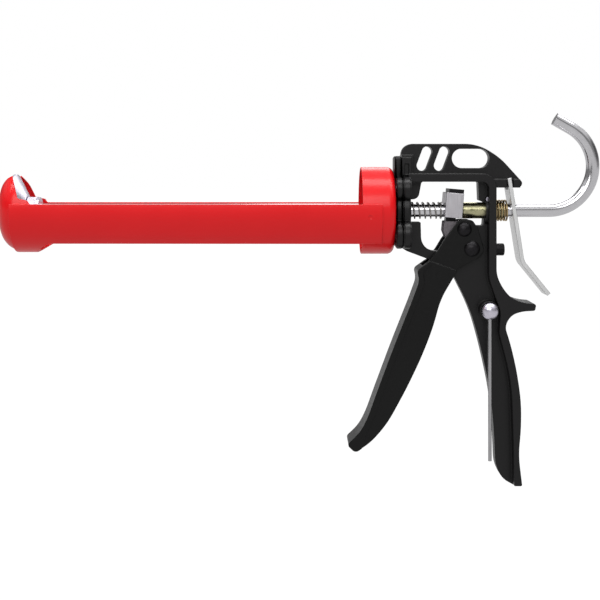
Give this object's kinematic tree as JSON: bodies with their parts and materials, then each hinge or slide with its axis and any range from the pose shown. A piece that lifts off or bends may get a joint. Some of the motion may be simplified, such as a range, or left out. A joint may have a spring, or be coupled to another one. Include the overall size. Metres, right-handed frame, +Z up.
{
  "type": "caulking gun",
  "caption": "Hand-squeezed caulking gun with a swivelling half-open cradle for a standard cartridge, a cast grip frame, a smooth push rod with a hanging hook and a thumb release.",
  "frame": {"origin": "on the push rod's axis, in the plane where the cartridge's rear rim seats", "axes": "+X along the rod towards the hanging hook, +Z up from the grip to the bridge, the nose at -X"},
  "size_m": [0.3591, 0.0538, 0.2228],
  "materials": {
    "red_enamel": "gloss red enamel on pressed steel",
    "black_casting": "semi-gloss black powder coat on a casting",
    "zinc_steel": "bright zinc plate",
    "bright_steel": "polished steel",
    "bright_rod": "chromed round bar",
    "spring_steel": "drawn spring wire",
    "brass_spring": "yellow-plated spring wire",
    "black_oxide": "black oxide",
    "dark_steel": "oiled steel",
    "plain_steel": "bare rolled steel",
    "yellow_zinc": "yellow chromate over zinc"
  },
  "bodies": {
    "frame": {"frame_casting": "black_casting", "swivel_plate": "black_casting", "swivel_screws": "zinc_steel", "column_pin": "bright_steel", "lever_stop_screw": "black_oxide", "punch_rivet": "bright_steel", "return_spring": "spring_steel", "brake_spring": "brass_spring"},
    "cradle": {"cradle_shell": "red_enamel", "nose_cap": "red_enamel", "rear_ring": "red_enamel", "hub_bush": "zinc_steel", "hub_washer": "zinc_steel", "hub_nut": "zinc_steel"},
    "piston": {"piston_disc": "zinc_steel"},
    "rod": {"push_rod": "bright_rod", "piston_washer": "zinc_steel", "piston_rear_nut": "zinc_steel", "piston_front_nut": "zinc_steel"},
    "trigger": {"trigger_lever": "black_casting", "pivot_rivet": "black_oxide", "drive_rivet": "black_oxide"},
    "dog": {"drive_dog": "dark_steel"},
    "drive": {"drive_saddle": "plain_steel", "grip_plate_1": "black_oxide", "grip_plate_2": "black_oxide", "grip_plate_3": "black_oxide"},
    "sleeve": {"auto_release_sleeve": "yellow_zinc"},
    "release_lever": {"release_lever": "plain_steel"},
    "punch": {"seal_punch": "bright_steel"}
  },
  "joints": [
    {"name": "cradle_spin", "type": "hinge", "parent": "frame", "child": "cradle", "pos_m": [0, 0, 0], "axis": [1, 0, 0], "continuous": true},
    {"name": "rod_slide", "type": "slide", "parent": "frame", "child": "piston", "axis": [1, 0, 0], "range_m": [0, 0.205]},
    {"name": "rod_spin", "type": "hinge", "parent": "piston", "child": "rod", "pos_m": [0, 0, 0], "axis": [1, 0, 0], "continuous": true},
    {"name": "trigger_pivot", "type": "hinge", "parent": "frame", "child": "trigger", "pos_m": [0.0472, 0, -0.0226], "axis": [0, -1, 0], "range_deg": [0, 28], "stiffness_Nm_per_rad": 0.5, "springref_deg": -22.92},
    {"name": "dog_pivot", "type": "hinge", "parent": "trigger", "child": "dog", "pos_m": [0.0427, 0, -0.011], "axis": [0, -1, 0], "range_deg": [-28, 0]},
    {"name": "drive_slide", "type": "slide", "parent": "frame", "child": "drive", "axis": [-1, 0, 0], "range_m": [0, 0.005], "deforming": ["return_spring"]},
    {"name": "sleeve_slide", "type": "slide", "parent": "frame", "child": "sleeve", "axis": [-1, 0, 0], "range_m": [0, 0.0015]},
    {"name": "release_pivot", "type": "hinge", "parent": "frame", "child": "release_lever", "pos_m": [0.07008, 0, 0.0163], "axis": [0, 1, 0], "range_deg": [0, 8], "stiffness_Nm_per_rad": 0.4, "springref_deg": -17.19, "deforming": ["brake_spring"]},
    {"name": "punch_swing", "type": "hinge", "parent": "frame", "child": "punch", "pos_m": [0.0571, -0.01255, -0.0591], "axis": [0, 1, 0], "range_deg": [-150, 110]}
  ],
  "couplings": [
    {"joint": "dog_pivot", "follows": "trigger_pivot", "ratio": -1},
    {"joint": "drive_slide", "follows": "trigger_pivot", "m_per_rad": 0.01007},
    {"joint": "sleeve_slide", "follows": "trigger_pivot", "m_per_rad": 0.003}
  ]
}
